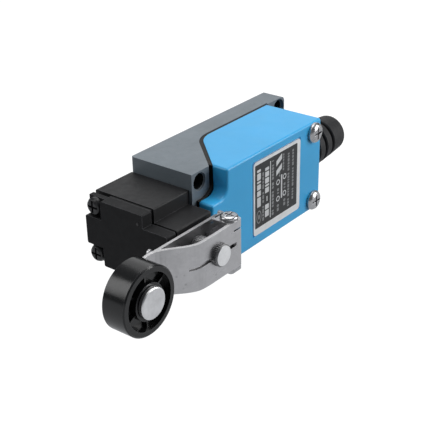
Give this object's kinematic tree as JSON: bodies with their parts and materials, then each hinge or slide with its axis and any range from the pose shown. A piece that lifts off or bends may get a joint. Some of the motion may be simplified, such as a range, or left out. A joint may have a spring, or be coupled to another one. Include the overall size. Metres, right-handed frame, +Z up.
{
  "type": "limit switch",
  "caption": "Roller-lever limit switch: boxed die-cast body with bolt-on cover, rotary head, clamped sheet-steel lever with roller, rubber cable gland and sprung double-break contacts",
  "frame": {"origin": "centre of the four mounting holes, on the flat mounting face of the base housing", "axes": "+X runs along the body towards the cable gland, +Y is the outward normal of the mounting face, +Z is up through the 28 mm thickness, with the switch lying on its side"},
  "size_m": [0.1201, 0.0388, 0.028],
  "materials": {
    "grey_diecast": "fine sprayed satin",
    "blue_plastic": "smooth moulded semi-gloss",
    "black_head": "satin black coat",
    "black_rubber": "matte",
    "black_nylon": "glossy moulded",
    "zinc_sheet": "zinc-plated rolled sheet",
    "bright_screw": "bright nickel plate",
    "turned_steel": "turned",
    "black_screw": "black oxide",
    "bronze": "sintered",
    "brass_strip": "stamped",
    "silver_tip": "polished",
    "phenolic": "moulded thermoset",
    "white_plastic": "moulded",
    "clear_plastic": "clear moulded",
    "spring_steel": "drawn wire",
    "label_plate": "printed black field, bare silver border"
  },
  "bodies": {
    "housing": {"base_housing": "grey_diecast", "front_cover": "blue_plastic", "cover_gasket": "black_rubber", "cover_screws": "bright_screw", "nameplate": "label_plate", "head_housing": "black_head", "head_gasket": "black_rubber", "head_end_plate": "black_head", "end_plate_seal": "black_rubber", "end_plate_pins": "turned_steel", "head_screws": "black_screw", "shaft_bush": "bronze", "shaft_seal": "black_rubber", "plunger_bush": "bronze", "plunger_seal": "black_rubber", "plunger_spring": "spring_steel", "switch_block": "phenolic", "carrier_spring": "spring_steel", "nc_contacts": "brass_strip", "no_contacts": "brass_strip", "contact_tips": "silver_tip", "terminal_clamps": "brass_strip", "terminal_screws": "bright_screw", "block_screws": "bright_screw", "earth_screw": "brass_strip", "earth_washer": "brass_strip", "contact_lid": "clear_plastic", "cable_gland": "black_rubber", "gland_retainer": "phenolic"},
    "lever": {"rotary_shaft": "turned_steel", "shaft_circlip": "spring_steel", "lever_arm": "zinc_sheet", "clamp_washer": "bright_screw", "clamp_screw": "bright_screw", "clamp_nut": "bright_screw", "roller_axle": "turned_steel"},
    "roller": {"roller": "black_nylon"},
    "plunger": {"drive_plunger": "turned_steel"},
    "carrier": {"contact_carrier": "white_plastic", "contact_bridge": "brass_strip"}
  },
  "joints": [
    {"name": "lever_swing", "type": "hinge", "parent": "housing", "child": "lever", "pos_m": [-0.0401, -0.02, 0], "axis": [0, 1, 0], "range_deg": [-70, 70], "stiffness_Nm_per_rad": 0.06},
    {"name": "roller_spin", "type": "hinge", "parent": "lever", "child": "roller", "pos_m": [-0.06725, -0.03413, 0], "axis": [0, 1, 0], "continuous": true},
    {"name": "plunger_slide", "type": "slide", "parent": "housing", "child": "plunger", "axis": [1, 0, 0], "range_m": [0, 0.0012], "stiffness_N_per_m": 600, "deforming": ["plunger_spring"]},
    {"name": "carrier_slide", "type": "slide", "parent": "housing", "child": "carrier", "axis": [1, 0, 0], "range_m": [0, 0.0012], "stiffness_N_per_m": 200, "deforming": ["carrier_spring"]}
  ],
  "couplings": [
    {"joint": "carrier_slide", "follows": "plunger_slide", "ratio": 1}
  ]
}
